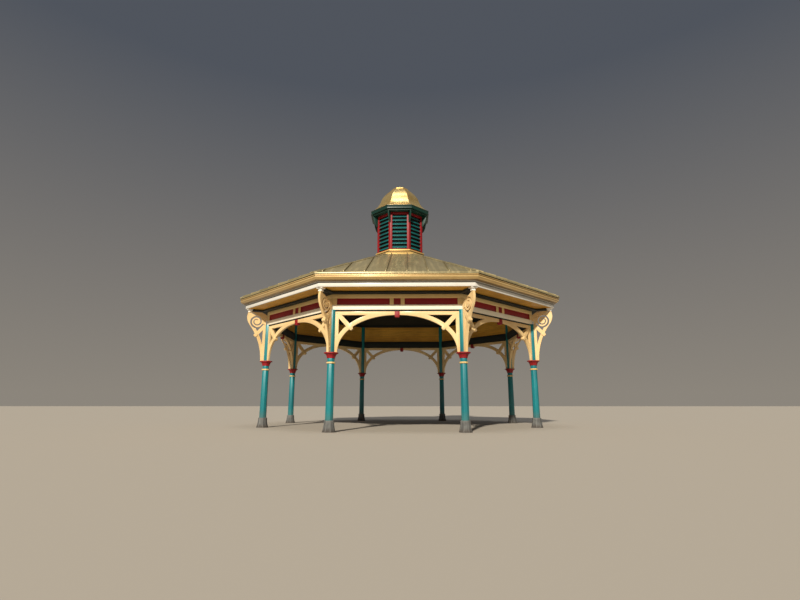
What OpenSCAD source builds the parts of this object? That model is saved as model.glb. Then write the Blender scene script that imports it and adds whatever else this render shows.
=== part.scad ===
// Octagonal park bandstand. Eight slim columns on concrete plinths carry a panelled frieze,
// a low standing-seam roof and a louvred cupola under a small bell-shaped dome.
// All sizes are millimetres. The origin is on the ground in the middle of the octagon,
// +Z is up and one bay faces -Y.

/* [Plan] */
// Spacing of neighbouring columns, centre to centre
bay_w = 3800; // [3400:50:4400]
// Open joint between neighbouring pieces of a ring
joint = 2; // [1:0.5:4]

/* [Columns] */
// Height of a plinth
plinth_h = 320; // [200:10:450]
// Width of a plinth at the ground, across flats
plinth_foot_w = 370; // [330:5:460]
// Width of a plinth at its top, across flats
plinth_top_w = 270; // [240:5:320]
// Height of a shaft from the plinth to its neck ring
shaft_h = 1575; // [1200:25:2200]
// Width of a shaft at its foot, across flats
shaft_foot_w = 215; // [190:5:235]
// Width of a shaft at its top, across flats
shaft_top_w = 195; // [170:5:210]
// Height of a neck ring
ring_h = 50; // [30:2:80]
// How far a neck ring stands out from the shaft
ring_out = 25; // [10:1:40]
// Height of the neck between the ring and the capital
neck_h = 105; // [60:5:160]
// Height of a capital
capital_h = 165; // [120:5:240]
// Width of a capital at its foot, across flats
capital_foot_w = 225; // [215:5:260]
// Width of a capital at its top plate, across flats
capital_top_w = 390; // [340:5:460]
// Thickness of the top plate of a capital
capital_plate_h = 34; // [20:2:60]
// Width of the upper post above the capital, across flats
post_w = 190; // [160:5:215]

/* [Arches] */
// Rise of an arch from the capitals to its crown
arch_rise = 1095; // [900:5:1300]
// Roundness of an arch: 2 is an ellipse and more is squarer
arch_power = 2.1; // [2:0.05:2.6]
// Width of an arch brace
brace_w = 127; // [90:1:160]
// Width of a bracket at its foot, beside the post
bracket_foot_w = 75; // [60:1:100]
// Width of the upright leg of a bracket
leg_w = 100; // [70:1:130]
// Height of the level rail over an arch
rail_h = 102; // [80:1:160]
// Height of the packing strip between an arch and the frieze
packing_h = 50; // [20:2:80]
// Thickness of the packing strip
packing_t = 30; // [16:1:60]
// Thickness of arch brackets, front to back
bracket_t = 70; // [40:2:100]
// Slope of a strut
strut_angle = 47; // [40:1:52]
// Width of a strut
strut_w = 128; // [80:1:150]
// Width of the knob on the end of a strut
knob_w = 108; // [70:1:125]
// How far a knob stands below the brace
knob_out = 60; // [30:1:90]
// How far a knob stands out from the faces of its bracket
knob_proud = 22; // [5:1:40]
// Width of a keystone
keystone_w = 145; // [100:5:200]
// Depth of a keystone below the rail
keystone_drop = 60; // [30:5:100]
// Thickness of a keystone in front of and behind the rail
keystone_out = 24; // [15:1:50]

/* [Scroll brackets] */
// Reach of a scroll from the column axis
scroll_reach = 722; // [660:2:780]
// Width of a scroll bracket at its foot
scroll_foot_w = 100; // [80:1:130]
// Width of the curved band
band_w = 102; // [80:1:115]
// Width of the upright leg of a scroll bracket
scroll_leg_w = 74; // [50:1:90]
// Distance of the eye of the volute from the column axis
volute_x = 400; // [380:2:420]
// Height of the eye of the volute above the frieze's foot
volute_rise = 110; // [90:5:140]
// Radius of the volute
volute_r = 200; // [185:1:205]
// Width of the spiral slot where it opens
slot_w = 62; // [45:1:66]
// Turn of the spiral slot in degrees
slot_turn = 560; // [400:10:620]
// Width of the flat on top of a scroll
tip_w = 45; // [30:1:70]
// Height above the frieze's foot where a scroll's top edge meets the frieze
shoulder_rise = 170; // [150:5:200]
// Width of the cap block between a scroll and the eaves
cap_w = 190; // [150:5:210]
// Height of the cap block
cap_h = 105; // [90:1:125]
// Width of the outrigger behind a cap block
outrigger_w = 240; // [200:5:280]

/* [Frieze] */
// Thickness of the frieze rails in front of the column line
frieze_t = 50; // [36:1:90]
// Height of the lower rail
lower_rail_h = 148; // [120:2:220]
// Height of the sunk panels
panel_h = 195; // [100:5:260]
// Thickness of the sunk panels
panel_t = 20; // [10:1:30]
// Height of the upper rail
upper_rail_h = 121; // [70:1:180]
// Width of a stile at the end of a bay, measured to the mitre
end_stile_w = 148; // [100:2:300]
// Width of a middle stile
mid_stile_w = 115; // [60:5:160]
// Width of the small middle panel
mid_panel_w = 205; // [120:5:400]
// Height of the bed mould under the eaves
bed_h = 46; // [40:1:60]
// Height of the shadow gap above the bed mould
bed_gap_h = 16; // [10:1:26]
// How far the bed mould stands out from the frieze
bed_out = 200; // [60:1:240]
// Height of the lintel beams between the posts
lintel_h = 250; // [200:5:330]
// Thickness of a lintel beam behind the column line
lintel_in = 70; // [36:1:90]
// Thickness of the boarding inside the frieze
boarding_t = 25; // [12:1:40]
// Height of the wall plate
plate_h = 80; // [50:2:120]

/* [Eaves] */
// Distance from the tip of a scroll to the back of the fascia, square to the eaves
eaves_clear = 50; // [30:1:120]
// Thickness of the soffit boards
soffit_t = 20; // [10:1:30]
// Height of the fascia
fascia_h = 157; // [130:1:220]
// Thickness of the fascia
fascia_t = 40; // [20:1:50]
// Height of the lip along the top of the fascia
lip_h = 28; // [16:1:50]
// How far the lip stands out
lip_out = 20; // [8:1:30]
// Width of the gutter over its rim
gutter_w = 210; // [150:2:250]
// Height of the gutter
gutter_h = 162; // [110:2:190]
// Wall thickness of the gutter
gutter_t = 9; // [4:1:14]

/* [Roof] */
// Pitch of the roof in degrees
pitch = 24.3; // [20:0.1:32]
// Thickness of the roof panels
sheet_t = 40; // [20:1:60]
// Air gap between the gutter rim and the roof edge
eave_gap = 8; // [4:1:30]
// How far the roof edge stands out over the gutter rim
eave_out = 25; // [5:1:50]
// Spacing of the standing seams
seam_pitch = 590; // [450:5:700]
// Width of a standing seam
seam_w = 26; // [15:1:40]
// Height of a standing seam
seam_h = 42; // [20:1:60]
// Width of a hip cap
hip_cap_w = 150; // [100:5:200]
// Height of a hip cap above the sheets
hip_cap_h = 24; // [16:1:60]
// Depth of a hip rafter, square to the slope
rafter_d = 200; // [140:5:260]
// Thickness of a hip rafter
rafter_t = 70; // [40:5:120]
// Thickness of the ceiling boards
ceiling_t = 20; // [10:1:30]

/* [Cupola] */
// Distance of the cupola's faces from the axis
cupola_a = 895; // [760:5:1000]
// Thickness of the cupola's framed walls
cupola_t = 80; // [60:2:110]
// Thickness of the curb under the cupola, outside its faces
curb_out = 60; // [40:5:110]
// Height of the curb above the roof
curb_h = 150; // [100:5:200]
// Width of the metal skirt around the curb
skirt_w = 300; // [80:5:340]
// Height of the skirt against the curb
skirt_h = 60; // [30:1:90]
// Height of the skirt's outer edge
skirt_edge_h = 30; // [15:1:45]
// Height of the bottom rail
sill_h = 45; // [30:1:90]
// Number of louvre blades on a side
louvre_n = 9; // [6:1:11]
// Spacing of the louvre blades
louvre_pitch = 157; // [110:1:170]
// Width of a louvre blade
louvre_w = 104; // [90:1:115]
// Thickness of a louvre blade
louvre_t = 15; // [8:1:20]
// Tilt of a louvre blade from upright
louvre_tilt = 36; // [28:1:42]
// Thickness of the dark screens behind the louvres
screen_t = 6; // [3:0.5:12]
// Height of the head rail
head_h = 90; // [60:2:120]
// Width of a corner post on each side
corner_w = 85; // [55:1:100]
// Reach of the cornice beyond the cupola's faces
cornice_out = 260; // [220:5:340]
// Height of the cornice
cornice_h = 145; // [90:5:180]
// Height of the soffit plate under the cornice
under_h = 60; // [30:2:90]
// How far the soffit plate stays behind the cornice
under_in = 65; // [30:5:100]
// Height of a corner bracket under the cornice
prop_h = 420; // [300:10:520]
// Thickness of a corner bracket
prop_t = 50; // [30:2:68]

/* [Dome] */
// Height of the dome up to its cap
dome_h = 1075; // [800:5:1300]
// Radius of the dome at its waist, to a corner
dome_waist_r = 815; // [700:5:900]
// Height of the waist
dome_waist_h = 530; // [400:10:640]
// Radius of the dome under its cap, to a corner
dome_top_r = 370; // [320:5:460]
// Height of the cap
dome_cap_h = 140; // [100:5:220]

/* [Hidden] */

// Octagon geometry
sides = 8;
half_turn = 180 / sides;
apothem = bay_w / 2 / tan(half_turn);
column_r = bay_w / 2 / sin(half_turn);
seat_x = bay_w / 2 - post_w / 2;
post_corner = post_w / 2 / cos(half_turn);

// Levels above the ground
shaft_z = plinth_h;
ring_z = shaft_z + shaft_h;
neck_z = ring_z + ring_h;
capital_z = neck_z + neck_h;
spring_z = capital_z + capital_h;
crown_z = spring_z + arch_rise;
packing_z = crown_z + rail_h;
beam_z = packing_z + packing_h;
panel_z = beam_z + lower_rail_h;
upper_rail_z = panel_z + panel_h;
bed_z = upper_rail_z + upper_rail_h;
bed_gap_z = bed_z + bed_h;
soffit_z = bed_gap_z + bed_gap_h;
gutter_z = soffit_z + fascia_h;
rim_z = gutter_z + gutter_h;

// Distances of faces from the axis, square to a bay
frieze_back = apothem;
frieze_face = frieze_back + frieze_t;
tip_x = scroll_reach - scroll_foot_w * 0.22;
fascia_back = (column_r + tip_x) * cos(half_turn) + eaves_clear;
fascia_face = fascia_back + fascia_t;
rim_a = fascia_back + gutter_w;
eave_a = rim_a + eave_out;
curb_a = cupola_a + curb_out;
cupola_in = cupola_a - cupola_t;
cornice_a = cupola_a + cornice_out;

// Heights of the sloping roof layers at a distance from the axis
sheet_dz = sheet_t / cos(pitch);
rafter_dz = rafter_d / cos(pitch);
ceiling_dz = ceiling_t / cos(pitch);
eave_z = rim_z + eave_gap + sheet_dz;
function roof_top(a) = eave_z + (eave_a - a) * tan(pitch);
function sheet_under(a) = roof_top(a) - sheet_dz;
function ceiling_top(a) = sheet_under(a) - rafter_dz;
function ceiling_under(a) = ceiling_top(a) - ceiling_dz;
plate_z = ceiling_under(frieze_back) - plate_h;
plate_in = apothem - lintel_in;

// Levels of the cupola
sill_z = roof_top(curb_a) + curb_h;
louvre_z = sill_z + sill_h;
head_z = louvre_z + louvre_n * louvre_pitch;
under_z = head_z + head_h;
cornice_z = under_z + under_h;
dome_z = cornice_z + cornice_h;
dome_cap_z = dome_z + dome_h;

// Fineness of the curves
arch_steps = 22;
band_steps = 10;
slot_step = 12;
dome_steps = 10;
curve_steps = 6;
round_fn = 40;
knob_fn = 16;

// How far a cutting shape runs past the piece that it cuts
over = 1;

// Colours of the paint and the metal
cream = "#ecd9ac";
teal = "#12787c";
red = "#a01522";
dark_green = "#123c36";
roof_metal = "#8f8152";
gold = "#c9a24a";
concrete = "#8b867d";
white = "#f3efe2";
timber = "#a37a45";

// Places
module each_column() {
  for (k = [0:sides - 1]) rotate(half_turn + k * 2 * half_turn) children();
}

module each_bay() {
  for (k = [0:sides - 1]) rotate(k * 2 * half_turn) children();
}

// Stands its children at a column, with +X pointing out from the axis
module at_column() {
  each_column() translate([column_r, 0, 0]) children();
}

// Wedge between two neighbouring mitre planes, kept back by half a gap
module wedge(gap, z0, z1) {
  reach = 2 * column_r;
  translate([gap / 2 / sin(half_turn), 0, z0])
    linear_extrude(z1 - z0)
      polygon([[0, 0], [reach, -reach * tan(half_turn)], [reach, reach * tan(half_turn)]]);
}

// Sweeps a profile of distance from the axis and height straight along one bay
module bay_bar(profile, length) {
  rotate([90, 0, 0]) linear_extrude(length, center = true) polygon(profile);
}

// The same profile cut by the mitres of one bay
module bay_run(profile, gap) {
  heights = [for (p = profile) p.y];
  intersection() {
    bay_bar(profile, 2 * column_r);
    wedge(gap, min(heights) - over, max(heights) + over);
  }
}

function box_profile(a0, a1, z0, z1) = [[a0, z0], [a1, z0], [a1, z1], [a0, z1]];

// Octagonal prism with a corner on +X, sized across flats
module octagon(width, height) {
  cylinder(r = width / 2 / cos(half_turn), h = height, $fn = sides);
}

// Octagonal turning from a profile of half widths across flats
module octagon_turned(profile) {
  rotate_extrude($fn = sides) polygon([for (p = profile) [p.x / cos(half_turn), p.y]]);
}

// Flat bar in a plane drawing, from one point past another
module bar_2d(from, to, width, past) {
  run = to - from;
  translate(from) rotate(atan2(run.y, run.x)) translate([0, -width / 2]) square([norm(run) + past, width]);
}

// Curves
function bezier(p, t) = pow(1 - t, 3) * p[0] + 3 * t * pow(1 - t, 2) * p[1] + 3 * t * t * (1 - t) * p[2]
  + pow(t, 3) * p[3];
function bezier_run(p, t) = 3 * pow(1 - t, 2) * (p[1] - p[0]) + 6 * t * (1 - t) * (p[2] - p[1])
  + 3 * t * t * (p[3] - p[2]);
function left_of(v) = [-v.y, v.x] / norm(v);
function beside(p, t, d) = bezier(p, t) + d * left_of(bezier_run(p, t));
function backwards(list) = [for (i = [len(list) - 1:-1:0]) list[i]];
function quarter(steps) = [for (i = [0:steps]) 90 * i / steps];
function superellipse(a, b) = [for (t = quarter(arch_steps))
  [a * pow(cos(t), 2 / arch_power), b * pow(sin(t), 2 / arch_power)]];

// Plinths of cast concrete, flared to the ground in a hollow curve
module column_plinths() {
  foot = plinth_foot_w / 2;
  top = plinth_top_w / 2;
  flare = [for (i = [0:curve_steps]) let (t = i / curve_steps)
    [top + (foot - top) * pow(1 - t, 2.2), plinth_h * t]];
  color(concrete) at_column() octagon_turned(concat([[0, 0]], flare, [[0, plinth_h]]));
}

// Tapered eight-sided shafts with a corner facing out
module column_shafts() {
  color(teal) at_column() translate([0, 0, shaft_z])
    octagon_turned([[0, 0], [shaft_foot_w / 2, 0], [shaft_top_w / 2, shaft_h], [0, shaft_h]]);
}

// Rings with softened edges between shaft and neck
module neck_rings() {
  r = shaft_top_w / 2 + ring_out;
  soft = ring_h / 4;
  color(cream) at_column() translate([0, 0, ring_z])
    octagon_turned([[0, 0], [r - soft, 0], [r, soft], [r, ring_h - soft], [r - soft, ring_h], [0, ring_h]]);
}

module column_necks() {
  color(teal) at_column() translate([0, 0, neck_z]) octagon(shaft_top_w, neck_h);
}

// Bell-shaped capitals under a plate
module column_capitals() {
  foot = capital_foot_w / 2;
  plate = capital_top_w / 2;
  lip = plate - capital_plate_h;
  bell_h = capital_h - capital_plate_h;
  bell = [for (t = quarter(curve_steps)) [lip - (lip - foot) * cos(t), bell_h * t / 90]];
  color(red) at_column() translate([0, 0, capital_z])
    octagon_turned(concat([[0, 0]], bell, [[plate, bell_h], [plate, capital_h], [0, capital_h]]));
}

// Posts above the capitals. They are whole up to the frieze and run on behind it to the wall plate
module upper_posts() {
  color(teal) intersection() {
    at_column() translate([0, 0, spring_z]) octagon(post_w, plate_z - spring_z);
    union() {
      octagon(4 * column_r, beam_z);
      rotate(half_turn) octagon(2 * frieze_back, plate_z + over);
    }
  }
}

// Arch brackets, drawn from the middle of a bay and the capitals' level
arch_a = seat_x - bracket_foot_w;
corner = [seat_x - leg_w / 2, arch_rise + rail_h / 2];
arch_h = arch_rise + rail_h;
function strut_point(s) = corner - s * [cos(strut_angle), sin(strut_angle)];
function arch_level(p) = pow(max(p.x, 0) / arch_a, arch_power) + pow(max(p.y, 0) / arch_rise, arch_power);
function strut_meets(low, high, tries) = let (mid = (low + high) / 2)
  tries == 0 ? mid : arch_level(strut_point(mid)) > 1 ? strut_meets(mid, high, tries - 1)
  : strut_meets(low, mid, tries - 1);
strut_s = strut_meets(0, norm(corner), 30);

// Rounded knob on the end of a strut that runs from one point to another
module knob_2d(from, to) {
  run = to - from;
  soft = knob_w / 3;
  translate(to) rotate(atan2(run.y, run.x)) offset(r = soft, $fn = knob_fn)
    translate([soft - brace_w / 2, soft - knob_w / 2])
      square([brace_w / 2 + knob_out - 2 * soft, knob_w - 2 * soft]);
}

module arch_quarter(a, b) {
  polygon(concat([[0, 0]], superellipse(a, b)));
}

module arch_half_2d() {
  difference() {
    translate([joint / 2, 0]) square([seat_x - joint / 2, arch_h]);
    arch_quarter(arch_a, arch_rise);
    difference() {
      square([seat_x - leg_w, arch_rise]);
      arch_quarter(arch_a + brace_w, arch_rise + brace_w);
      bar_2d(corner, strut_point(strut_s), strut_w, 0);
    }
  }
}

module arch_brackets() {
  color(cream) each_bay() translate([apothem, 0, spring_z]) for (side = [0, 1]) mirror([0, side, 0])
    rotate([90, 0, 90]) {
      linear_extrude(bracket_t, center = true) arch_half_2d();
      linear_extrude(bracket_t + 2 * knob_proud, center = true) knob_2d(corner, strut_point(strut_s));
    }
}

// Keystones that clasp the rail where two brackets meet
module arch_keystones() {
  depth = bracket_t + 2 * keystone_out;
  height = rail_h + keystone_drop;
  nose_w = keystone_w * 0.62;
  nose_h = keystone_drop / 5;
  color(red) each_bay() translate([apothem, 0, packing_z]) difference() {
    union() {
      translate([-depth / 2, -keystone_w / 2, -height]) cube([depth, keystone_w, height]);
      translate([-depth / 2, -nose_w / 2, -height - nose_h]) cube([depth, nose_w, nose_h + over]);
    }
    translate([-bracket_t / 2, -keystone_w, -rail_h]) cube([bracket_t, 2 * keystone_w, rail_h + over]);
  }
}

// Scroll brackets, drawn from the column axis outwards and from the ground up
tip_z = soffit_z - cap_h;
tip = [tip_x, tip_z];
tip_flat = tip - [tip_w, 0];
volute = [volute_x, beam_z + volute_rise];
foot_x = post_corner + scroll_foot_w;
shoulder = [frieze_face / cos(half_turn) - column_r, beam_z + shoulder_rise];
scroll_rise = volute.y - spring_z;
sweep_end = volute + volute_r * [1, -0.84];
sweep = [[foot_x, spring_z], [foot_x + scroll_foot_w * 0.1, spring_z + scroll_rise * 0.375],
  [volute_x - scroll_foot_w * 0.2, spring_z + scroll_rise * 0.655], sweep_end];
curl = [sweep_end, sweep_end + [band_w, band_w * 1.28],
  [scroll_reach + band_w * 0.48, volute.y + volute_r * 0.58], tip];
strut_t = 0.69;
strut_end = bezier(sweep, strut_t);
scroll_corner = [post_corner + scroll_leg_w / 2, beam_z - rail_h / 2];
scroll_outer = concat([for (i = [0:band_steps]) bezier(sweep, i / band_steps)],
  [for (i = [1:band_steps]) bezier(curl, i / band_steps)]);
scroll_inner = concat([for (i = [0:band_steps]) beside(sweep, i / band_steps, band_w)],
  [for (i = [1:band_steps]) beside(curl, i / band_steps, band_w)]);

// Spiral slot that winds inwards from its opening under the volute
slot_start = -72;
slot_r0 = volute_r + slot_w * 0.15;
slot_r1 = volute_r * 0.31;
slot_taper = 0.55;
slot_n = round(slot_turn / slot_step);
function slot_edge(side) = [for (i = [0:slot_n]) let (t = i / slot_n, turn = slot_start + slot_turn * t,
  r = slot_r0 + (slot_r1 - slot_r0) * t + side * slot_w / 2 * (1 - slot_taper * t))
  volute + r * [cos(turn), sin(turn)]];

module scroll_2d() {
  offset(delta = over) offset(delta = -over) difference() {
    union() {
      translate([0, spring_z]) square([post_corner + scroll_leg_w, beam_z - spring_z]);
      polygon(concat(scroll_outer, backwards(scroll_inner)));
      polygon([[post_corner, spring_z], [foot_x, spring_z], scroll_inner[2],
        [post_corner, scroll_inner[2].y]]);
      bar_2d(scroll_corner, strut_end, strut_w * 0.9, knob_out - band_w * 0.5);
      translate(volute) circle(volute_r, $fn = round_fn);
      polygon([volute, [scroll_reach - band_w / 2, volute.y], tip, tip_flat, shoulder,
        [shoulder.x - over, beam_z], [post_corner, beam_z]]);
    }
    polygon(concat(slot_edge(1), backwards(slot_edge(-1))));
    polygon([tip_flat, shoulder, [shoulder.x, soffit_z], [tip_flat.x, soffit_z]]);
  }
}

module scroll_brackets() {
  color(cream) each_column() difference() {
    translate([column_r, 0, 0]) rotate([90, 0, 0]) {
      linear_extrude(bracket_t, center = true) scroll_2d();
      linear_extrude(bracket_t + 2 * knob_proud, center = true) knob_2d(scroll_corner, strut_end);
    }
    translate([column_r, 0, 0]) octagon(post_w, soffit_z);
    translate([0, 0, beam_z]) octagon(2 * frieze_face, soffit_z - beam_z);
  }
}

// Two plates with a neck between a scroll and the eaves
cap_plate_h = cap_h * 0.3;
cap_x = tip_x - band_w / 2;
module bracket_cap_blocks() {
  foot_w = cap_w * 0.62;
  neck_w = cap_w * 0.54;
  color(white) at_column() translate([cap_x, 0, tip_z]) {
    translate([-foot_w / 2, -foot_w / 2, 0]) cube([foot_w, foot_w, cap_plate_h]);
    translate([-neck_w / 2, -neck_w / 2, cap_plate_h]) cube([neck_w, neck_w, cap_h - 2 * cap_plate_h]);
    translate([-cap_w / 2, -cap_w / 2, cap_h - cap_plate_h]) cube([cap_w, cap_w, cap_plate_h]);
  }
}

// Outriggers that carry the bed mould's line out along each corner to the cap block
module eaves_outriggers() {
  reach = column_r + cap_x - cap_w / 2;
  color(dark_green) each_column() difference() {
    union() {
      translate([0, -outrigger_w / 2, bed_z]) cube([reach, outrigger_w, bed_h]);
      translate([0, -outrigger_w / 4, bed_z]) cube([reach, outrigger_w / 2, soffit_z - bed_z]);
    }
    translate([0, 0, bed_z - over]) octagon(2 * (frieze_face + bed_out), bed_h + bed_gap_h + 2 * over);
  }
}

// Strips that pack out the shadow line between the arches and the frieze
module packing_strips() {
  color(dark_green) each_bay() translate([apothem - packing_t / 2, -seat_x, packing_z])
    cube([packing_t, 2 * seat_x, packing_h]);
}

// Beams between the posts, behind the frieze
module lintel_beams() {
  color(dark_green) each_bay() translate([plate_in, -seat_x, beam_z])
    cube([frieze_back - plate_in, 2 * seat_x, lintel_h]);
}

module frieze_lower_rails() {
  color(cream) each_bay() bay_run(box_profile(frieze_back, frieze_face, beam_z, panel_z), joint);
}

module frieze_upper_rails() {
  color(cream) each_bay() bay_run(box_profile(frieze_back, frieze_face, upper_rail_z, bed_z), joint);
}

// Stiles: one at each mitre and a pair beside the small middle panel
mitre_x = frieze_face * tan(half_turn);
end_stile_x = mitre_x - end_stile_w;
mid_stile_x = mid_panel_w / 2;
module frieze_stiles() {
  color(cream) each_bay() for (side = [-1, 1]) {
    intersection() {
      bay_run(box_profile(frieze_back, frieze_face, panel_z, upper_rail_z), joint);
      translate([frieze_back - over, side > 0 ? end_stile_x : -mitre_x, panel_z - over])
        cube([frieze_t + 2 * over, end_stile_w, panel_h + 2 * over]);
    }
    translate([frieze_back, side > 0 ? mid_stile_x : -mid_stile_x - mid_stile_w, panel_z])
      cube([frieze_t, mid_stile_w, panel_h]);
  }
}

// Sunk panels: a small one in the middle and a long one on each side
module frieze_panels() {
  long_x = mid_stile_x + mid_stile_w;
  color(red) each_bay() {
    translate([frieze_back, -mid_stile_x, panel_z]) cube([panel_t, mid_panel_w, panel_h]);
    for (side = [0, 1]) mirror([0, side, 0])
      translate([frieze_back, long_x, panel_z]) cube([panel_t, end_stile_x - long_x, panel_h]);
  }
}

// Boards that line the frieze inside, from the lintels to the wall plates
module inner_boarding() {
  z = beam_z + lintel_h;
  color(timber) difference() {
    each_bay() bay_run(box_profile(frieze_back - boarding_t, frieze_back, z, plate_z), joint);
    at_column() translate([0, 0, z - over]) octagon(post_w, plate_z - z + 2 * over);
  }
}

module wall_plates() {
  color(dark_green) each_bay() bay_run([[plate_in, plate_z], [frieze_back, plate_z],
    [frieze_back, ceiling_under(frieze_back)], [plate_in, ceiling_under(plate_in)]], joint);
}

module bed_moulds() {
  shadow = bed_out / 2;
  color(dark_green) each_bay() bay_run([[frieze_back, bed_z], [frieze_face + bed_out, bed_z],
    [frieze_face + bed_out, bed_gap_z], [frieze_face + shadow, bed_gap_z], [frieze_face + shadow, soffit_z],
    [frieze_back, soffit_z]], joint);
}

module eaves_soffit() {
  color(gold) each_bay() bay_run(box_profile(frieze_back, fascia_back, soffit_z, soffit_z + soffit_t), joint);
}

// White fascia with a groove under the lip along its top
module fascia_boards() {
  lip_z = gutter_z - lip_h;
  groove_h = lip_h * 0.65;
  groove_a = fascia_face - fascia_t / 2;
  color(white) each_bay() bay_run([[fascia_back, soffit_z], [fascia_face, soffit_z],
    [fascia_face, lip_z - groove_h], [groove_a, lip_z - groove_h], [groove_a, lip_z],
    [fascia_face + lip_out, lip_z], [fascia_face + lip_out, gutter_z], [fascia_back, gutter_z]], joint);
}

// Gutter with a rounded belly and a grooved upright rim, resting on the fascia
module gutters() {
  belly_a = fascia_face + lip_out;
  belly_w = rim_a - belly_a - gutter_t;
  belly_h = gutter_h * 0.5;
  rim_foot = gutter_z + belly_h;
  rim_wall = gutter_t * 1.8;
  groove_h = gutter_t * 1.4;
  groove_z = rim_foot + (gutter_h - belly_h) * 0.42;
  belly = [for (t = quarter(curve_steps)) [belly_a + belly_w * sin(t), rim_foot - belly_h * cos(t)]];
  hollow_w = rim_a - rim_wall - belly_a;
  hollow = [for (t = backwards(quarter(curve_steps)))
    [belly_a + hollow_w * sin(t), rim_foot - (belly_h - gutter_t) * cos(t)]];
  rim = [[rim_a, rim_foot], [rim_a, groove_z], [rim_a - gutter_t, groove_z],
    [rim_a - gutter_t, groove_z + groove_h], [rim_a, groove_z + groove_h], [rim_a, rim_z],
    [rim_a - rim_wall, rim_z]];
  back = [[fascia_back + gutter_t, gutter_z + gutter_t], [fascia_back + gutter_t, rim_z - gutter_t],
    [fascia_back, rim_z - gutter_t]];
  color(roof_metal) each_bay() bay_run(concat([[fascia_back, gutter_z]], belly, rim, hollow, back), joint);
}

// Roof sheets, one for each side, from the eaves to the cupola's curb
module roof_sheets() {
  color(roof_metal) each_bay() bay_run([[curb_a, sheet_under(curb_a)], [eave_a, sheet_under(eave_a)],
    [eave_a, roof_top(eave_a)], [curb_a, roof_top(curb_a)]], joint);
}

// A layer that lies on the roof sheets between two distances from the axis
function roof_layer(a0, a1, height) = let (dz = height / cos(pitch))
  [[a0, roof_top(a0)], [a1, roof_top(a1)], [a1, roof_top(a1) + dz], [a0, roof_top(a0) + dz]];

module roof_seams() {
  count = ceil(eave_a * tan(half_turn) / seam_pitch);
  color(roof_metal) each_bay() for (i = [-count:count - 1]) intersection() {
    translate([0, (i + 0.5) * seam_pitch, 0]) bay_bar(roof_layer(curb_a + skirt_w, eave_a, seam_h), seam_w);
    wedge(hip_cap_w, 0, dome_z);
  }
}

// Rolls along the hips. Their undersides lie on both neighbouring sides of the roof
ridge_pitch = atan(tan(pitch) * cos(half_turn));
module hip_caps() {
  wing = hip_cap_w / 2;
  roll = hip_cap_h / 2;
  drop = wing * sin(half_turn) * tan(pitch) + sheet_t / 2;
  edge = hip_cap_h / 6;
  low = roof_top(eave_a) - sheet_dz;
  section = concat([[-drop, -wing], [edge, -wing]],
    [for (t = 2 * quarter(curve_steps)) [roll * (1 + sin(t)), -roll * cos(t)]],
    [[edge, wing], [-drop, wing]]);
  color(roof_metal) each_column() difference() {
    intersection() {
      translate([eave_a / cos(half_turn), 0, roof_top(eave_a)]) rotate([0, ridge_pitch - 90, 0])
        translate([0, 0, -wing]) linear_extrude(eave_a + wing) polygon(section);
      translate([0, 0, low]) octagon(2 * eave_a, dome_z - low);
    }
    intersection_for (side = [-1, 1]) rotate(side * half_turn)
      bay_bar([[0, 0], [eave_a + wing, 0], [eave_a + wing, roof_top(eave_a + wing)], [0, roof_top(0)]],
        2 * eave_a);
    translate([0, 0, low]) octagon(2 * (curb_a + skirt_w), dome_z - low);
  }
}

// Rafters under the hips, set down until their top edges meet the sheets
module hip_rafters() {
  drop = rafter_t / 2 * sin(half_turn) * tan(pitch);
  inner = curb_a / cos(half_turn);
  outer = (fascia_back - rafter_t / 2 * sin(half_turn)) / cos(half_turn);
  color(timber) each_column() rotate([90, 0, 0]) linear_extrude(rafter_t, center = true)
    polygon([[inner, ceiling_top(curb_a)], [outer, ceiling_top(outer * cos(half_turn))],
      [outer, sheet_under(outer * cos(half_turn)) - drop], [inner, sheet_under(curb_a) - drop]]);
}

module ceiling_boards() {
  color(dark_green) each_bay() bay_run([[curb_a, ceiling_under(curb_a)],
    [frieze_back, ceiling_under(frieze_back)], [frieze_back, ceiling_top(frieze_back)],
    [curb_a, ceiling_top(curb_a)]], joint);
}

// Curb that trims the opening under the cupola
module cupola_curb() {
  color(gold) each_bay() bay_run(box_profile(cupola_in, curb_a, ceiling_under(curb_a), sill_z), joint);
}

// Metal skirt that sheds water from the curb onto the roof
module cupola_skirt() {
  foot_a = curb_a + skirt_w;
  color(gold) each_bay() bay_run([[curb_a, roof_top(curb_a)], [foot_a, roof_top(foot_a)],
    [foot_a, roof_top(foot_a) + skirt_edge_h], [curb_a, roof_top(curb_a) + skirt_h]], joint);
}

// Half the clear width between two corner posts
clear_x = cupola_a * tan(half_turn) - corner_w;

module cupola_rail(z, height) {
  color(red) each_bay() translate([cupola_in, -clear_x, z]) cube([cupola_t, 2 * clear_x, height]);
}

module cupola_sills() {
  cupola_rail(sill_z, sill_h);
}

module cupola_head_rails() {
  cupola_rail(head_z, head_h);
}

// Corner posts with a face on each of two sides
module cupola_corner_posts() {
  out = [cupola_a / cos(half_turn), 0];
  along = corner_w * [-sin(half_turn), cos(half_turn)];
  across = cupola_t * [cos(half_turn), sin(half_turn)];
  flip = [[1, 0], [0, -1]];
  face = out + along;
  back = face - across;
  color(red) each_column() translate([0, 0, sill_z])
    linear_extrude(under_z - sill_z) polygon([out, face, back, flip * back, flip * face]);
}

// Louvre blades that slope down and out between the corner posts
module cupola_louvres() {
  middle = cupola_a - cupola_t / 2;
  color(teal) each_bay() for (i = [0:louvre_n - 1])
    translate([middle, 0, louvre_z + (i + 0.5) * louvre_pitch]) rotate([0, -louvre_tilt, 0])
      translate([-louvre_t / 2, -clear_x, -louvre_w / 2]) cube([louvre_t, 2 * clear_x, louvre_w]);
}

// Dark screens on the backs of the rails, which close the openings behind the louvres
module cupola_screens() {
  color(dark_green) each_bay() translate([cupola_in - screen_t, -clear_x, sill_z])
    cube([screen_t, 2 * clear_x, under_z - sill_z]);
}

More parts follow.
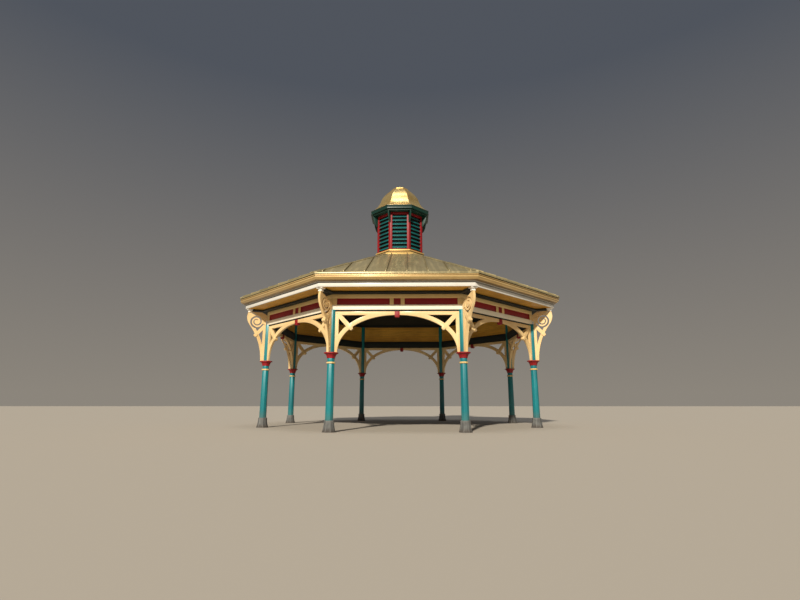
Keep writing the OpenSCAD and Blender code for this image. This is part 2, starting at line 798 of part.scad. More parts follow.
// Small brackets with a full, rounded edge under the corners of the cornice
prop_reach = (cornice_a - under_in - cupola_a) / cos(half_turn) - prop_t / 2;
module cupola_brackets() {
  nose = prop_t / 2;
  foot = prop_t / 3;
  full = 0.6;
  belly = [for (t = quarter(curve_steps)) let (level = t / 90)
    [prop_reach - (prop_reach - foot) * (full * (1 - cos(t)) + (1 - full) * level),
     -nose - (prop_h - nose) * (full * sin(t) + (1 - full) * level)]];
  color(dark_green) each_column() difference() {
    translate([cupola_a / cos(half_turn), 0, under_z]) rotate([90, 0, 0])
      linear_extrude(prop_t, center = true)
        polygon(concat([[-cupola_t, -prop_h], [-cupola_t, 0], [prop_reach, 0]], belly));
    translate([0, 0, sill_z]) octagon(2 * cupola_a, under_z - sill_z);
  }
}

module cupola_soffit() {
  color(dark_green) translate([0, 0, under_z]) rotate(half_turn) octagon(2 * (cornice_a - under_in), under_h);
}

// Cornice with a bead along its foot, a hollow face and a fillet along its top
module cupola_cornice() {
  bead_h = cornice_h * 0.16;
  fillet_h = cornice_h * 0.2;
  face_a = cornice_a - cornice_h * 0.16;
  hollow = [for (t = quarter(curve_steps)) [face_a + (cornice_a - face_a) * (1 - cos(t)),
    bead_h + (cornice_h - bead_h - fillet_h) * sin(t)]];
  color(dark_green) translate([0, 0, cornice_z]) rotate(half_turn)
    octagon_turned(concat([[0, 0], [cornice_a, 0], [cornice_a, bead_h]], hollow,
      [[cornice_a, cornice_h], [0, cornice_h]]));
}

// Eight-sided bell: a flared foot, steep sides and a turned-in shoulder
module dome_shell() {
  foot_r = cornice_a / cos(half_turn);
  flare_w = foot_r - dome_waist_r;
  shoulder_h = dome_h - dome_waist_h;
  flare = [[foot_r, 0], [foot_r - flare_w * 0.44, dome_waist_h * 0.19],
    [dome_waist_r + flare_w * 0.2, dome_waist_h * 0.5], [dome_waist_r, dome_waist_h]];
  shoulder = [flare[3], [dome_waist_r * 0.93, dome_waist_h + shoulder_h * 0.3],
    [dome_waist_r * 0.76, dome_waist_h + shoulder_h * 0.6], [dome_top_r, dome_h]];
  profile = concat([for (i = [0:dome_steps]) bezier(flare, i / dome_steps)],
    [for (i = [1:dome_steps]) bezier(shoulder, i / dome_steps)]);
  color(gold) translate([0, 0, dome_z]) rotate(half_turn)
    rotate_extrude($fn = sides) polygon(concat([[0, 0]], profile, [[0, dome_h]]));
}

// Low rounded cap that closes the dome
module dome_cap() {
  color(gold) translate([0, 0, dome_cap_z]) rotate(half_turn) rotate_extrude($fn = sides)
    polygon(concat([[0, 0]], [for (t = quarter(curve_steps)) [dome_top_r * cos(t), dome_cap_h * sin(t)]]));
}

column_plinths();
column_shafts();
neck_rings();
column_necks();
column_capitals();
upper_posts();
arch_brackets();
arch_keystones();
scroll_brackets();
bracket_cap_blocks();
eaves_outriggers();
packing_strips();
lintel_beams();
frieze_lower_rails();
frieze_stiles();
frieze_panels();
frieze_upper_rails();
inner_boarding();
wall_plates();
bed_moulds();
eaves_soffit();
fascia_boards();
gutters();
roof_sheets();
roof_seams();
hip_caps();
hip_rafters();
ceiling_boards();
cupola_curb();
cupola_skirt();
cupola_sills();
cupola_corner_posts();
cupola_louvres();
cupola_screens();
cupola_head_rails();
cupola_brackets();
cupola_soffit();
cupola_cornice();
dome_shell();
dome_cap();
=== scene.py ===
import math
import random

import bmesh
import bpy
from mathutils import Matrix, Vector


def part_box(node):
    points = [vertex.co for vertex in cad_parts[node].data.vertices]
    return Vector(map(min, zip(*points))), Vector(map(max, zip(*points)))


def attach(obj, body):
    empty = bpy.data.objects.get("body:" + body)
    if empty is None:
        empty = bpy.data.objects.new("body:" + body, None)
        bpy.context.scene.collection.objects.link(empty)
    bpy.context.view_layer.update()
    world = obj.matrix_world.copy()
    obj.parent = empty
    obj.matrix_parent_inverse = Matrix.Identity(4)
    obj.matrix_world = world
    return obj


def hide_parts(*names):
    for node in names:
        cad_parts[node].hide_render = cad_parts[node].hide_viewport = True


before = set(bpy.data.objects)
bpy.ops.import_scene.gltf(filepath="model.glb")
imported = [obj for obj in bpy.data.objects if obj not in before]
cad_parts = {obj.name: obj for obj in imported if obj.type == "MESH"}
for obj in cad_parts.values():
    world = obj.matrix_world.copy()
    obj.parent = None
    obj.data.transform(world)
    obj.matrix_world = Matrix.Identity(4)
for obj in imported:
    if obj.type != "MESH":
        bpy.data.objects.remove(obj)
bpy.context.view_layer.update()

# Viewpoint, daylight and floor.
# The camera stands eighteen metres in front of the middle, low down, and looks up at the cupola.
# A warm soft sun comes over its left shoulder, a weak cool one from overhead, on a plain pale floor.
lens = bpy.data.cameras.new("viewpoint")
lens.sensor_width = 36.0
lens.lens = 21.0
lens.clip_end = 500.0
camera = bpy.data.objects.new("viewpoint", lens)
camera.location = (0.326, -17.999, 0.770)
camera.rotation_euler = (math.radians(90 + 12.56), 0, math.radians(1.04))
bpy.context.scene.collection.objects.link(camera)
bpy.context.scene.camera = camera

for name, energy, spread, height, bearing, tint in (
    ("key_light", 4.5, 2.5, 31, 256, (1.0, 0.93, 0.81)),
    ("top_light", 0.6, 24, 80, 262, (0.95, 0.97, 1.0)),
):
    lamp = bpy.data.lights.new(name, "SUN")
    lamp.energy = energy
    lamp.angle = math.radians(spread)
    lamp.color = tint
    light = bpy.data.objects.new(name, lamp)
    light.rotation_euler = (0, math.radians(90 - height), math.radians(bearing))
    bpy.context.scene.collection.objects.link(light)

sky = bpy.data.worlds.new("studio")
sky.use_nodes = True
wiring = sky.node_tree
look_up = wiring.nodes.new("ShaderNodeSeparateXYZ")
fade = wiring.nodes.new("ShaderNodeValToRGB")
wiring.links.new(wiring.nodes.new("ShaderNodeTexCoord").outputs["Generated"], look_up.inputs[0])
wiring.links.new(look_up.outputs["Z"], fade.inputs["Fac"])
wiring.links.new(fade.outputs["Color"], wiring.nodes["Background"].inputs["Color"])
fade.color_ramp.elements[0].position = 0.02
fade.color_ramp.elements[0].color = (0.26, 0.235, 0.20, 1)
fade.color_ramp.elements[1].position = 0.6
fade.color_ramp.elements[1].color = (0.08, 0.09, 0.11, 1)
bpy.context.scene.world = sky
bpy.context.scene.view_settings.view_transform = "Standard"

pale = bpy.data.materials.new("pale_floor")
pale.use_nodes = True
surface = pale.node_tree.nodes["Principled BSDF"]
surface.inputs["Base Color"].default_value = (0.45, 0.40, 0.33, 1)
surface.inputs["Roughness"].default_value = 0.9
ground = bmesh.new()
bmesh.ops.create_grid(ground, x_segments=1, y_segments=1, size=150)
floor_mesh = bpy.data.meshes.new("floor")
ground.to_mesh(floor_mesh)
ground.free()
floor_mesh.materials.append(pale)
floor = bpy.data.objects.new("floor", floor_mesh)
bpy.context.scene.collection.objects.link(floor)


# Plinths.
# Squat feet of cast concrete, eight-sided like the columns that stand in them, set in the ground.
# They were cast against upright boards, whose marks show, and their arrises are worn round.
class Tone:
    """One output in a finish's nodes. Arithmetic on it adds Math nodes."""

    def __init__(self, finish, socket):
        self.finish, self.socket = finish, socket

    def __add__(self, other):
        return self.finish.calc("ADD", self, other)

    def __sub__(self, other):
        return self.finish.calc("SUBTRACT", self, other)

    def __mul__(self, other):
        return self.finish.calc("MULTIPLY", self, other)

    def __truediv__(self, other):
        return self.finish.calc("DIVIDE", self, other)

    def __rsub__(self, other):
        return self.finish.calc("SUBTRACT", other, self)

    __radd__ = __add__
    __rmul__ = __mul__

    def between(self, low, high):
        """0 below low, 1 above high and a soft step from one to the other."""
        return self.finish.node("ShaderNodeMapRange", {"Value": self, "From Min": low, "From Max": high},
                                interpolation_type="SMOOTHSTEP")

    def groove(self, spacing, width):
        """1 in a line of this width at every multiple of the spacing, and 0 elsewhere."""
        offset = self.finish.calc("ABSOLUTE", self.finish.calc("WRAP", self, spacing / 2, -spacing / 2))
        return 1 - offset.between(width * 0.3, width * 0.6)


class Finish:
    """A material of the bandstand. node() adds any node, its settings first and then its sockets."""

    def __init__(self, name, roughness=0.5, metallic=0.0):
        self.material = bpy.data.materials.new(name)
        self.material.use_nodes = True
        self.tree = self.material.node_tree
        self.shader = self.tree.nodes["Principled BSDF"]
        self.shader.inputs["Roughness"].default_value = roughness
        self.shader.inputs["Metallic"].default_value = metallic

    def node(self, kind, sockets=(), out=0, **settings):
        made = self.tree.nodes.new(kind)
        for setting, value in settings.items():
            setattr(made, setting, value)
        for key, value in sockets.items() if isinstance(sockets, dict) else enumerate(sockets):
            self.feed(made.inputs[key], value)
        return Tone(self, made.outputs[out])

    def feed(self, socket, value):
        if isinstance(value, Tone):
            self.tree.links.new(value.socket, socket)
        else:
            socket.default_value = value

    def calc(self, operation, *values):
        return self.node("ShaderNodeMath", values, operation=operation)

    def paint(self, **sockets):
        """Feeds sockets of the shader, with _ for the space in a name."""
        for socket, value in sockets.items():
            self.feed(self.shader.inputs[socket.replace("_", " ")], value)

    def place(self):
        return self.node("ShaderNodeTexCoord", out="Object")

    def axes(self):
        at = self.place()
        return [self.node("ShaderNodeSeparateXYZ", [at], out=i) for i in range(3)]

    def mask(self, name):
        """An attribute of the mesh itself, such as the arrises that were eased."""
        return self.node("ShaderNodeAttribute", out="Fac", attribute_name=name)

    def noise(self, scale, stretch=(1, 1, 1), detail=3.0, roughness=0.55, at=None):
        mapped = self.node("ShaderNodeMapping", {"Vector": at or self.place(), "Scale": stretch})
        return self.node("ShaderNodeTexNoise", {"Vector": mapped, "Scale": scale, "Detail": detail,
                                               "Roughness": roughness})

    def mix(self, factor, first, second):
        """The first colour where the factor is 0 and the second where it is 1."""
        first, second = (c if isinstance(c, Tone) else (*c, 1) for c in (first, second))
        return self.node("ShaderNodeMix", {0: factor, 6: first, 7: second}, out=2, data_type="RGBA")

    def bump(self, height, distance):
        sockets = {"Height": height, "Distance": distance, "Strength": 1.0}
        self.paint(Normal=self.node("ShaderNodeBump", sockets))


def linear(*levels):
    """A colour as read off the object, 0 to 255, as the shader takes it."""
    return tuple(c / 255 / 12.92 if c < 10.3 else ((c / 255 + 0.055) / 1.055) ** 2.4 for c in levels)


def put(shape, name, finish, slot, *nodes, smooth=35):
    """Makes a finished shape a piece of the bandstand, in place of the CAD nodes named."""
    bmesh.ops.recalc_face_normals(shape, faces=shape.faces)
    mesh = bpy.data.meshes.new(name)
    shape.to_mesh(mesh)
    shape.free()
    mesh.materials.append(finish.material)
    mesh.shade_smooth()
    mesh.set_sharp_from_angle(angle=math.radians(smooth))
    made = bpy.data.objects.new(name, mesh)
    bpy.context.scene.collection.objects.link(made)
    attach(made, "root")
    if nodes:
        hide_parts(*nodes)


def ease(shape, edges, width, segments):
    """Rounds these arrises and marks the new faces, where paint wears first."""
    mark = shape.loops.layers.float.get("arris") or shape.loops.layers.float.new("arris")
    rounded = bmesh.ops.bevel(shape, geom=edges, offset=width, offset_type="OFFSET", segments=segments,
                              profile=0.5, affect="EDGES", clamp_overlap=True, material=-1)
    for face in rounded["faces"]:
        for loop in face.loops:
            loop[mark] = 1.0


nearly_flat = math.radians(0.6)


def merged(node):
    """A copy of a CAD piece, with its doubled corners joined."""
    shape = bmesh.new()
    shape.from_mesh(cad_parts[node].data)
    bmesh.ops.remove_doubles(shape, verts=shape.verts, dist=1e-5)
    return shape


def eased(node, finish, slot, width, segments=2, sharp=28):
    """A CAD piece with its hard arrises eased, which takes its place."""
    shape = merged(node)
    bmesh.ops.dissolve_limit(shape, angle_limit=nearly_flat, verts=shape.verts, edges=shape.edges)
    bend = math.radians(sharp)
    hard = [edge for edge in shape.edges if edge.is_manifold and edge.calc_face_angle(0) > bend]
    ease(shape, hard, width, segments)
    bmesh.ops.dissolve_degenerate(shape, edges=shape.edges, dist=1e-5)
    put(shape, node + "_eased", finish, slot, node)


concrete = Finish("cast_concrete", roughness=0.92)
level = concrete.axes()[2]
blotch = concrete.noise(3.5, detail=5)
grit = concrete.noise(90, detail=2)
board_marks = concrete.noise(15, stretch=(1, 1, 0.07), detail=3)
pits = concrete.node("ShaderNodeTexVoronoi", {"Vector": concrete.place(), "Scale": 48.0})
holes = 1 - pits.between(0.06, 0.16)
damp = 1 - (level + 0.14 * blotch).between(0.07, 0.24)
tone = concrete.mix(blotch.between(0.35, 0.7), linear(108, 109, 107), linear(80, 81, 80))
tone = concrete.mix(board_marks.between(0.45, 0.62) * 0.6, tone, linear(68, 68, 68))
tone = concrete.mix(grit.between(0.45, 0.75) * 0.35, tone, linear(136, 134, 128))
tone = concrete.mix(damp * 0.7, tone, linear(64, 52, 42))
tone = concrete.mix(holes * 0.6, tone, linear(38, 35, 32))
tone = concrete.mix(concrete.mask("arris") * 0.35, tone, linear(150, 149, 144))
concrete.paint(Base_Color=tone)
concrete.bump(grit * 0.35 + 1.1 * board_marks - 0.7 * holes + 0.8 * blotch, 0.006)
eased("column_plinths", concrete, "concrete", 0.009, segments=3)


# Columns.
# Eight-sided shafts with a corner facing outwards, under a rounded ring, a short neck and a capital.
# They are smooth castings in gloss enamel, fitted end to end, dusty at the foot and with faint runs.
def faded(colour, amount):
    """The colour after years of sun: lighter in its own hue, and a little chalky."""
    return tuple(min(0.9, c * (1 + amount) + 0.03 * amount) for c in colour)


def enamel(name, colour, shade, streak=(6, 6, 0.5), roughness=0.34, wear=0.35, dust=0.0, coat=0.15):
    """Gloss paint: slow changes of shade, runs along the work, brush marks, chips and worn arrises."""
    finish = Finish(name)
    slow = finish.noise(0.8, detail=2)
    runs = finish.noise(5.0, stretch=streak, detail=4)
    marks = finish.noise(60.0, stretch=streak, detail=2)
    specks = finish.noise(34.0, detail=4)
    worn = finish.mask("arris") * specks.between(0.35, 0.62)
    chips = finish.noise(21.0, detail=3, roughness=0.7).between(0.735, 0.75)
    tone = finish.mix(slow.between(0.2, 0.8), colour, shade)
    tone = finish.mix(runs.between(0.45, 0.9) * 0.22, tone, faded(colour, 0.4))
    tone = finish.mix(runs.between(0.55, 0.1) * 0.2, tone, tuple(0.6 * c for c in shade))
    tone = finish.mix(worn * wear, tone, faded(colour, 0.8))
    tone = finish.mix(chips * 0.7, tone, tuple(0.3 * c + 0.06 for c in shade))
    if dust:
        dust_foot = 0.32
        low_down = 1 - finish.axes()[2].between(dust_foot, dust_foot + dust)
        tone = finish.mix(low_down * (0.3 + slow) * 0.3, tone, linear(116, 104, 84))
    dullness = roughness + 0.14 * marks.between(0.3, 0.7) + 0.12 * slow + 0.2 * chips
    finish.paint(Base_Color=tone, Roughness=dullness)
    finish.bump(marks * 0.6 + 0.4 * runs - 0.8 * chips, 0.0012)
    finish.shader.inputs["Coat Weight"].default_value = coat
    finish.shader.inputs["Coat Roughness"].default_value = 0.18
    return finish


teal = enamel("teal_enamel", linear(0, 130, 136), linear(0, 100, 110), dust=0.32)
red = enamel("red_enamel", linear(154, 2, 16), linear(126, 1, 10), roughness=0.42, wear=0.15, coat=0.0)
ring_cream = enamel("ring_cream", linear(232, 194, 128), linear(212, 170, 104))
eased("column_shafts", teal, "teal_paint", 0.004)
eased("column_necks", teal, "teal_paint", 0.004)
eased("neck_rings", ring_cream, "cream_paint", 0.006, segments=3, sharp=20)
eased("column_capitals", red, "red_paint", 0.005, segments=3, sharp=24)
eased("upper_posts", teal, "teal_paint", 0.004)


# Arch brackets and keystones.
# Each arch is two sawn timber brackets, bolted to the posts and strutted back to the beam.
# The pair meets under a small clasping block, painted red. The timber is enamelled cream.
half_bay = 1.900
half_turn = math.radians(22.5)
column_radius = half_bay / math.sin(half_turn)
column_line = half_bay / math.tan(half_turn)
spring_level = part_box("arch_brackets")[0].z
bolt_radius, bolt_height = 0.011, 0.010


def all_round(shape):
    """Repeats what is in the shape seven times round the axis, once for every other bay or corner."""
    everything = shape.verts[:] + shape.edges[:] + shape.faces[:]
    bmesh.ops.spin(shape, geom=everything, cent=(0, 0, 0), axis=(0, 0, 1), angle=math.radians(315), steps=7,
                   use_duplicate=True)


def bolt_head(shape, at, facing, radius, height):
    """A round bolt head on its washer, let a millimetre into the work."""
    turned = Vector(facing).to_track_quat("Z", "Y").to_matrix().to_4x4()
    washer, head = (1.55, 1.5, -0.001, 0.0025), (1.0, 0.62, 0.002, height)
    for foot, crown, low, high in (washer, head):
        lift = Matrix.Translation((0, 0, (high + low) / 2))
        bmesh.ops.create_cone(shape, cap_ends=True, segments=10, depth=high - low, radius1=radius * foot,
                              radius2=radius * crown, matrix=Matrix.Translation(at) @ turned @ lift)


cream = enamel("cream_timber", linear(236, 206, 152), linear(222, 184, 124), streak=(2.5, 2.5, 2.5),
               roughness=0.42)
eased("arch_brackets", cream, "cream_paint", 0.006)
eased("arch_keystones", red, "red_paint", 0.006)

bracket_face = 0.035
leg_line = 1.765
strut_corner = Vector((1.755, 1.146))
strut_slope = math.radians(47)
strut_bolt = strut_corner - 0.22 * Vector((math.cos(strut_slope), math.sin(strut_slope)))
arch_bolts = bmesh.new()
for side in (-1, 1):
    for along, up in (tuple(strut_corner), (leg_line, 0.16), (leg_line, 0.62), tuple(strut_bolt)):
        for face in (-1, 1):
            at = (column_line + face * bracket_face, side * along, spring_level + up)
            bolt_head(arch_bolts, at, (face, 0, 0), bolt_radius, bolt_height)
all_round(arch_bolts)
put(arch_bolts, "arch_bracket_bolts", cream, "cream_paint")


# Scroll brackets.
# Sawn from laminated timber and bolted through to the columns, they carry the corners of the eaves.
# A spiral is cut through each volute. The small white plates at the top are packers under the eaves.
def saw(shape, waste):
    """The first shape without what it shares with the second. Both are used up."""
    work = []
    for name, part in (("work", shape), ("waste", waste)):
        mesh = bpy.data.meshes.new(name)
        part.to_mesh(mesh)
        part.free()
        work.append(bpy.data.objects.new(name, mesh))
        bpy.context.scene.collection.objects.link(work[-1])
    cut = work[0].modifiers.new("saw", "BOOLEAN")
    cut.object = work[1]
    sawn = bmesh.new()
    sawn.from_object(work[0], bpy.context.evaluated_depsgraph_get())
    for part in work:
        bpy.data.objects.remove(part)
    return sawn


to_corner = Matrix.Rotation(half_turn, 3, "Z")
scroll = merged("scroll_brackets")
bmesh.ops.rotate(scroll, verts=scroll.verts, cent=(0, 0, 0), matrix=to_corner.inverted())
others = [vert for vert in scroll.verts if abs(vert.co.y) > 0.3 or vert.co.x < 0]
bmesh.ops.delete(scroll, geom=others, context="VERTS")

# The spiral opens into the hole below it. Each row has an angle and the two radii to cut between.
volute_out, volute_up, half_cut = 0.400, 1.357, 0.1
volute_centre = Vector((column_radius + volute_out, -half_cut, spring_level + volute_up))
mouth_edges = ((-71.9, 0.1783, 0.2402), (-76, 0.1815, 0.241), (-84, 0.190, 0.236), (-92, 0.1985, 0.226),
               (-97, 0.2005, 0.215))
ring = [(angle, near) for angle, near, far in mouth_edges]
ring += [(angle, far) for angle, near, far in reversed(mouth_edges)]
mouth = bmesh.new()
outline = []
for angle, reach in ring:
    turn = math.radians(angle)
    outline.append(mouth.verts.new(volute_centre + reach * Vector((math.cos(turn), 0, math.sin(turn)))))
through = bmesh.ops.extrude_face_region(mouth, geom=[mouth.faces.new(outline)])["geom"]
far_side = [part for part in through if isinstance(part, bmesh.types.BMVert)]
bmesh.ops.translate(mouth, verts=far_side, vec=(0, 2 * half_cut, 0))
bmesh.ops.recalc_face_normals(mouth, faces=mouth.faces)
scroll = saw(scroll, mouth)
bmesh.ops.remove_doubles(scroll, verts=scroll.verts, dist=0.001)
bmesh.ops.dissolve_limit(scroll, angle_limit=nearly_flat, verts=scroll.verts, edges=scroll.edges)

# Only the edges that were sawn square are eased, not those where the back is cut to fit the post.
square = [edge for edge in scroll.edges
          if {round(abs(face.normal.y), 1) for face in edge.link_faces} == {0.0, 1.0}]
ease(scroll, square, 0.0035, 2)
bmesh.ops.rotate(scroll, verts=scroll.verts, cent=(0, 0, 0), matrix=to_corner)
all_round(scroll)
put(scroll, "scroll_brackets_eased", cream, "cream_paint", "scroll_brackets", smooth=24)
white = enamel("white_trim", linear(252, 248, 238), linear(238, 230, 214), streak=(2, 2, 4), roughness=0.4)
eased("bracket_cap_blocks", white, "white_paint", 0.004)

scroll_bolts = bmesh.new()
for out, up in ((0.155, 0.15), (0.150, 0.55), (0.140, 1.145), (volute_out, volute_up)):
    for face in (-1, 1):
        at = (column_radius + out, face * bracket_face, spring_level + up)
        bolt_head(scroll_bolts, at, (0, face, 0), bolt_radius, bolt_height)
bmesh.ops.rotate(scroll_bolts, verts=scroll_bolts.verts, cent=(0, 0, 0), matrix=to_corner)
all_round(scroll_bolts)
put(scroll_bolts, "scroll_bracket_bolts", cream, "cream_paint")

# Frieze.
# Cream rails and stiles frame long red panels over each bay, on a shadow line of packing painted near-black
# as painted shade.
# Everything is planed timber, mitred at the corners, with a small bead planted round each panel.
runs_along = (1, 1, 9)
rail_cream = enamel("rail_cream", linear(250, 243, 224), linear(240, 229, 202), streak=runs_along,
                    roughness=0.42)
frame_cream = enamel("frame_cream", linear(234, 204, 142), linear(220, 184, 118), streak=runs_along,
                     roughness=0.42)
dark = enamel("dark_green_timber", linear(9, 22, 17), linear(6, 15, 12), streak=runs_along,
              roughness=0.58, coat=0.0)
eased("frieze_lower_rails", rail_cream, "cream_paint", 0.004)
eased("frieze_upper_rails", frame_cream, "cream_paint", 0.004)
eased("frieze_stiles", frame_cream, "cream_paint", 0.003)
eased("frieze_panels", red, "red_paint", 0.003)
# The packing is painted near-black: painted shade in the narrow gap between the beam and the arch rail.
eased("packing_strips", dark, "dark_green_paint", 0.003)
eased("lintel_beams", dark, "dark_green_paint", 0.005)
eased("wall_plates", dark, "dark_green_paint", 0.005)
eased("bed_moulds", dark, "dark_green_paint", 0.006, segments=3)
eased("eaves_outriggers", dark, "dark_green_paint", 0.005)

panel_low, panel_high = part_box("frieze_panels")
panel_front = column_line + 0.020
short_end, long_start, long_end = 0.1025, 0.2175, 1.7727
bead_width, bead_depth, bead_let_in = 0.016, 0.014, 0.001
beads = bmesh.new()
for left, right in ((-short_end, short_end), (long_start, long_end), (-long_end, -long_start)):
    middle, level = (left + right) / 2, (panel_low.z + panel_high.z) / 2
    length, height = right - left, panel_high.z - panel_low.z - 2 * bead_width
    for across, up, wide, high in (
        (middle, panel_low.z + bead_width / 2, length, bead_width),
        (middle, panel_high.z - bead_width / 2, length, bead_width),
        (left + bead_width / 2, level, bead_width, height),
        (right - bead_width / 2, level, bead_width, height),
    ):
        at = Matrix.Translation((panel_front + bead_depth / 2 - bead_let_in, across, up))
        size = Matrix.Diagonal((bead_depth, wide - 0.001, high, 1))
        bmesh.ops.create_cube(beads, size=1.0, matrix=at @ size)
ease(beads, beads.edges[:], 0.005, 2)
all_round(beads)
put(beads, "panel_beads", red, "red_paint")


# Boards inside the frieze, in the ceiling and in the soffit.
# Narrow matched boards run round each bay, bevelled along every joint, and nailed where it doesn't show.
# Those over the lintels are tan, the soffit is golden brown and the ceiling is nearly black.
def bay_axes(finish):
    """Distance from the axis, distance along the bay, height, and which way the bay faces."""
    x, y, z = finish.axes()
    bay_turn = 2 * half_turn
    facing = finish.calc("ROUND", finish.calc("ARCTAN2", y, x) / bay_turn) * bay_turn
    cosine, sine = finish.calc("COSINE", facing), finish.calc("SINE", facing)
    return x * cosine + y * sine, y * cosine - x * sine, z, facing


def board_finish(name, colour, shade, dark_shade):
    """Stained timber: every board in its own tone, with grain along it and dirt in the joints."""
    finish = Finish(name)
    out, along, up, facing = bay_axes(finish)
    lengthways = finish.node("ShaderNodeCombineXYZ", [out * 9.0, along * 0.55, up * 9.0 + facing * 3.0])
    grain = finish.noise(4.0, at=lengthways, detail=6, roughness=0.62)
    slow = finish.noise(0.9, detail=2)
    own = finish.mask("shade")
    tone = finish.mix(own, colour, shade)
    tone = finish.mix(grain.between(0.45, 0.75) * 0.6, tone, dark_shade)
    tone = finish.mix(slow.between(0.62, 0.35) * 0.35, tone, dark_shade)
    tone = finish.mix(finish.mask("arris") * 0.5, tone, tuple(0.35 * c for c in dark_shade))
    finish.paint(Base_Color=tone, Roughness=0.5 + 0.22 * grain)
    finish.bump(grain, 0.0015)
    finish.shader.inputs["Coat Weight"].default_value = 0.12
    return finish


draw = random.Random(11)


def board(shape, corners):
    """One board from the eight corners of its block, in a shade of its own."""
    block = bmesh.ops.create_cube(shape, size=1.0)["verts"]
    shade = shape.loops.layers.float["shade"]
    value = draw.random()
    for vert in block:
        vert.co = corners(*(c > 0 for c in vert.co))
        for loop in vert.link_loops:
            loop[shade] = value


def new_boards():
    shape = bmesh.new()
    shape.loops.layers.float.new("shade")
    shape.loops.layers.float.new("arris")
    return shape


joint, mitre_gap, joint_bevel = 0.004, 0.0012, 0.003


def bay_boards(edges, low, high):
    """Boards between these distances from the axis, at heights that follow from the distance."""
    shape = new_boards()
    for near, far in zip(edges[:-1], edges[1:]):
        def corners(outer, left, top):
            across = far - joint / 2 if outer else near + joint / 2
            mitre = (1 if left else -1) * (across * math.tan(half_turn) - mitre_gap)
            return across, mitre, high(across) if top else low(across)
        board(shape, corners)
    ease(shape, shape.edges[:], joint_bevel, 1)
    all_round(shape)
    return shape


def even(start, end, width):
    """The ends of equal parts from start to end, each as near to this width as can be."""
    count = max(1, round((end - start) / width))
    return [start + (end - start) * i / count for i in range(count + 1)]


golden = board_finish("golden_soffit_boards", linear(224, 172, 62), linear(204, 150, 46),
                      linear(142, 96, 24))
tan = board_finish("tan_lining_boards", linear(238, 184, 70), linear(216, 158, 50), linear(148, 100, 26))
night = board_finish("dark_ceiling_boards", linear(44, 42, 30), linear(30, 32, 24), linear(14, 14, 11))

soffit_low, soffit_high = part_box("eaves_soffit")
soffit = bay_boards(even(column_line, soffit_high.x, 0.1), lambda out: soffit_low.z,
                    lambda out: soffit_high.z)
put(soffit, "soffit_boards", golden, "golden_paint", "eaves_soffit")

roof_slope = math.radians(24.3)
pitch = math.tan(roof_slope)
curb_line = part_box("cupola_curb")[1].x
ceiling_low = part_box("ceiling_boards")[0]
ceiling_rise = 0.020 / math.cos(roof_slope)


def ceiling_level(out):
    return ceiling_low.z + (column_line - out) * pitch


ceiling = bay_boards(even(curb_line, column_line, 0.12), ceiling_level,
                     lambda out: ceiling_level(out) + ceiling_rise)
put(ceiling, "matched_ceiling", night, "dark_green_paint", "ceiling_boards")

lining_low, lining_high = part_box("inner_boarding")
lining_face, lining_end = column_line - 0.025, 1.803
lining = new_boards()
levels = even(lining_low.z, lining_high.z, 0.088)
for low, high in zip(levels[:-1], levels[1:]):
    board(lining, lambda outer, left, top: (column_line if outer else lining_face,
                                            lining_end if left else -lining_end,
                                            high - joint / 2 if top else low + joint / 2))
ease(lining, lining.edges[:], joint_bevel, 1)
all_round(lining)
put(lining, "lining_boards", tan, "tan_paint", "inner_boarding")
eased("hip_rafters", tan, "tan_paint", 0.005)


# Eaves.
# A white timber fascia carries a wide moulded gutter of sheet metal, painted pale gold.
# Both run round in eight straight lengths, mitred at the corners, with painted shade and dirt in their
# hollows.
def shadow_line(finish, level, height, amount, colour):
    """Painted shade and dirt along a level groove or lap, laid over the finish's own colour."""
    socket = finish.shader.inputs["Base Color"]
    tone = Tone(finish, socket.links[0].from_socket)
    away = finish.calc("ABSOLUTE", finish.axes()[2] - level)
    line = 1 - away.between(height * 0.35, height * 0.75)
    finish.paint(Base_Color=finish.mix(line * amount, tone, colour))


fascia = enamel("white_fascia", linear(226, 223, 215), linear(210, 204, 190), streak=(1.5, 1.5, 5),
                roughness=0.4)
gutter_gold = enamel("gutter_gold", linear(238, 208, 148), linear(222, 186, 120), streak=(1.5, 1.5, 5),
                     roughness=0.28, coat=0.2)
gutter_gold.shader.inputs["Metallic"].default_value = 0.35
gutter_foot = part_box("gutters")[0].z
# Painted shade and dirt in the groove under the fascia's lip and along the gutter's bands.
for finish, above_foot, height, amount, colour in (
    (fascia, -0.038, 0.030, 0.75, linear(120, 116, 106)),
    (gutter_gold, 0.121, 0.034, 0.8, linear(128, 92, 40)),
    (gutter_gold, 0.060, 0.026, 0.55, linear(140, 104, 52)),
    (gutter_gold, 0.004, 0.030, 0.8, linear(110, 80, 36)),
):
    shadow_line(finish, gutter_foot + above_foot, height, amount, colour)
eased("fascia_boards", fascia, "white_paint", 0.004)
eased("gutters", gutter_gold, "gutter_metal", 0.003)

# Roof.
# Long trays of painted sheet metal run from the cupola to the eaves, folded up into standing seams.
# The bronze paint has weathered, each tray a little differently, and screws hold the hip caps.
tray_width, lap_spacing = 0.590, 2.6
roof = Finish("weathered_roof_sheet", metallic=0.4)
out, along, _, facing = bay_axes(roof)
tray = roof.calc("FLOOR", along / tray_width + 0.5)
tray_place = roof.node("ShaderNodeCombineXYZ", [tray, facing * 7.0, 0.0])
tray_tone = roof.node("ShaderNodeTexWhiteNoise", {"Vector": tray_place}, noise_dimensions="3D")
lengthways = roof.node("ShaderNodeCombineXYZ", [out * 0.35, along * 6.0, facing])
streaks = roof.noise(2.2, at=lengthways, detail=4)
clouds = roof.noise(0.8, detail=3)
dents = roof.noise(2.6, detail=1)
# Beside each seam, painted shade with some grime, where the seam's shaded side falls.
seam_shade_and_grime = (along + tray_width / 2).groove(tray_width, 0.11)
lap = (out + tray_tone * 0.5 + 0.3).groove(lap_spacing, 0.016)
tone = roof.mix(tray_tone, linear(170, 156, 116), linear(150, 138, 101))
tone = roof.mix(streaks.between(0.45, 0.75) * 0.45, tone, linear(210, 190, 140))
